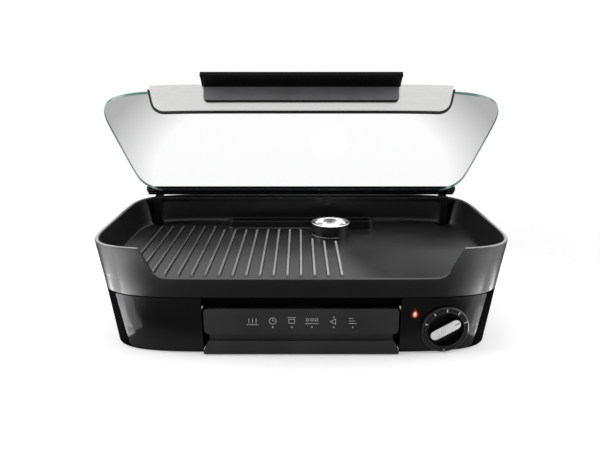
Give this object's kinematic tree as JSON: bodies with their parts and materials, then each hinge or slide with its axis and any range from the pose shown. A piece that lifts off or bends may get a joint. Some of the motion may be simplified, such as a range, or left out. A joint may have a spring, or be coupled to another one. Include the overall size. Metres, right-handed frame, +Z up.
{
  "type": "electric indoor grill with lid",
  "caption": "Countertop electric grill: black base with drip tray and dial, lift-off ribbed cooking plate with infuser cup, hinged glass lid with steel front.",
  "frame": {"origin": "centre of the footprint on the table, at the underside of the feet", "axes": "+X to the right seen from the front, +Y to the back, +Z up"},
  "size_m": [0.5396, 0.3075, 0.3496],
  "materials": {
    "base_plastic": "fine matt texture",
    "panel_gloss": "high gloss",
    "dial_plastic": "satin",
    "lens_red": "clear gloss",
    "lamp_glow": "gloss",
    "sheet_steel": "satin",
    "screw_steel": "satin",
    "element_sheath": "oxidised satin",
    "terminal_plastic": "matt",
    "black_rubber": "matt",
    "coated_cast": "dark non-stick coating",
    "bright_steel": "polished",
    "tray_coated": "dark coating",
    "knob_plastic": "satin",
    "inlay_silver": "dotted satin",
    "post_black": "black coating",
    "bar_black": "black satin coating",
    "lid_glass": "clear tempered",
    "fascia_steel": "brushed along its length",
    "handle_plastic": "satin"
  },
  "bodies": {
    "base": {"housing": "base_plastic", "bottom_cover": "base_plastic", "left_panel": "panel_gloss", "right_panel": "panel_gloss", "knob_dial": "dial_plastic", "indicator_lens": "lens_red", "indicator_lamp": "lamp_glow", "reflector": "sheet_steel", "heating_element": "element_sheath", "element_pins": "sheet_steel", "element_supports": "sheet_steel", "thermostat": "sheet_steel", "thermostat_nut": "sheet_steel", "terminal_block": "terminal_plastic", "cord_gland": "black_rubber", "tray_rails": "sheet_steel", "feet": "black_rubber", "cover_screws": "screw_steel"},
    "cooking_plate": {"grill_plate": "coated_cast"},
    "cup": {"infuser_cup": "bright_steel"},
    "drip_tray": {"tray_pan": "tray_coated", "tray_front": "base_plastic"},
    "control_knob": {"knob": "knob_plastic", "knob_inlay": "inlay_silver", "knob_shaft": "screw_steel"},
    "lid_mount": {"left_post": "post_black", "right_post": "post_black", "cross_rail": "post_black"},
    "lid": {"hinge_bar": "bar_black", "bar_end_caps": "knob_plastic", "hinge_pins": "screw_steel", "lid_glass": "lid_glass", "lid_fascia": "fascia_steel", "lid_gasket": "black_rubber", "clamp_strip": "bar_black", "clamp_screws": "screw_steel", "lid_handle": "handle_plastic", "handle_screws": "screw_steel"}
  },
  "joints": [
    {"name": "tray_slide", "type": "slide", "parent": "base", "child": "drip_tray", "axis": [0, -1, 0], "range_m": [0, 0.16]},
    {"name": "knob_turn", "type": "hinge", "parent": "base", "child": "control_knob", "pos_m": [0.1825, -0.14262, 0.0333], "axis": [-0.1216, 0.9904, 0.0652], "range_deg": [-242, 8]},
    {"name": "plate_lift", "type": "slide", "parent": "base", "child": "cooking_plate", "axis": [0, 0, 1], "range_m": [0, 0.12]},
    {"name": "cup_lift", "type": "slide", "parent": "cooking_plate", "child": "cup", "axis": [0, 0, 1], "range_m": [0, 0.06]},
    {"name": "lid_lift", "type": "slide", "parent": "cooking_plate", "child": "lid_mount", "axis": [0, 0, 1], "range_m": [0, 0.08]},
    {"name": "lid_hinge", "type": "hinge", "parent": "lid_mount", "child": "lid", "pos_m": [0, 0.1445, 0.1499], "axis": [-1, 0, 0], "range_deg": [-39.3, 57.4]}
  ]
}
